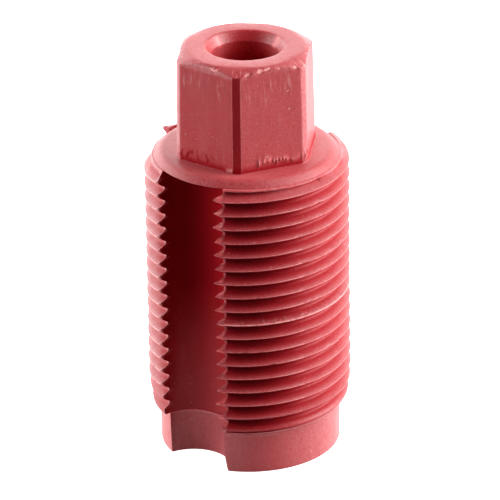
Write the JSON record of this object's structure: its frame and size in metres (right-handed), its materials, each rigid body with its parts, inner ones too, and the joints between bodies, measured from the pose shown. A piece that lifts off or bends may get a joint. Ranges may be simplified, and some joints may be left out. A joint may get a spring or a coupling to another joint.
{
  "type": "pneumatic muffler",
  "caption": "Screw-in moulded pneumatic muffler: hex head with countersunk outlet, fluted external thread, plain nose inlet and a silencing pack inside.",
  "frame": {"origin": "centre of the nose's end face, which is the lowest point of the part standing on its nose", "axes": "+Z along the thread's axis from the nose towards the hex head; the two air flutes face -Y and +Y, and two flats of the hexagon do too"},
  "size_m": [0.0138, 0.0128, 0.0289],
  "materials": {
    "casing": "satin moulded",
    "core": "moulded",
    "porous": "sintered, porous",
    "felt": "pressed felt",
    "screen": "punched",
    "steel": "plain"
  },
  "bodies": {
    "root": {"threaded_body": "casing", "hex_cap": "casing", "nose_ring": "casing", "inlet_screen": "screen", "core_tube": "core", "silencing_sleeve": "porous", "crown_plug": "core", "outlet_felt": "felt", "outlet_screen": "screen", "retaining_ring": "steel", "cap_dowels": "steel", "nose_dowels": "steel"}
  },
  "joints": []
}
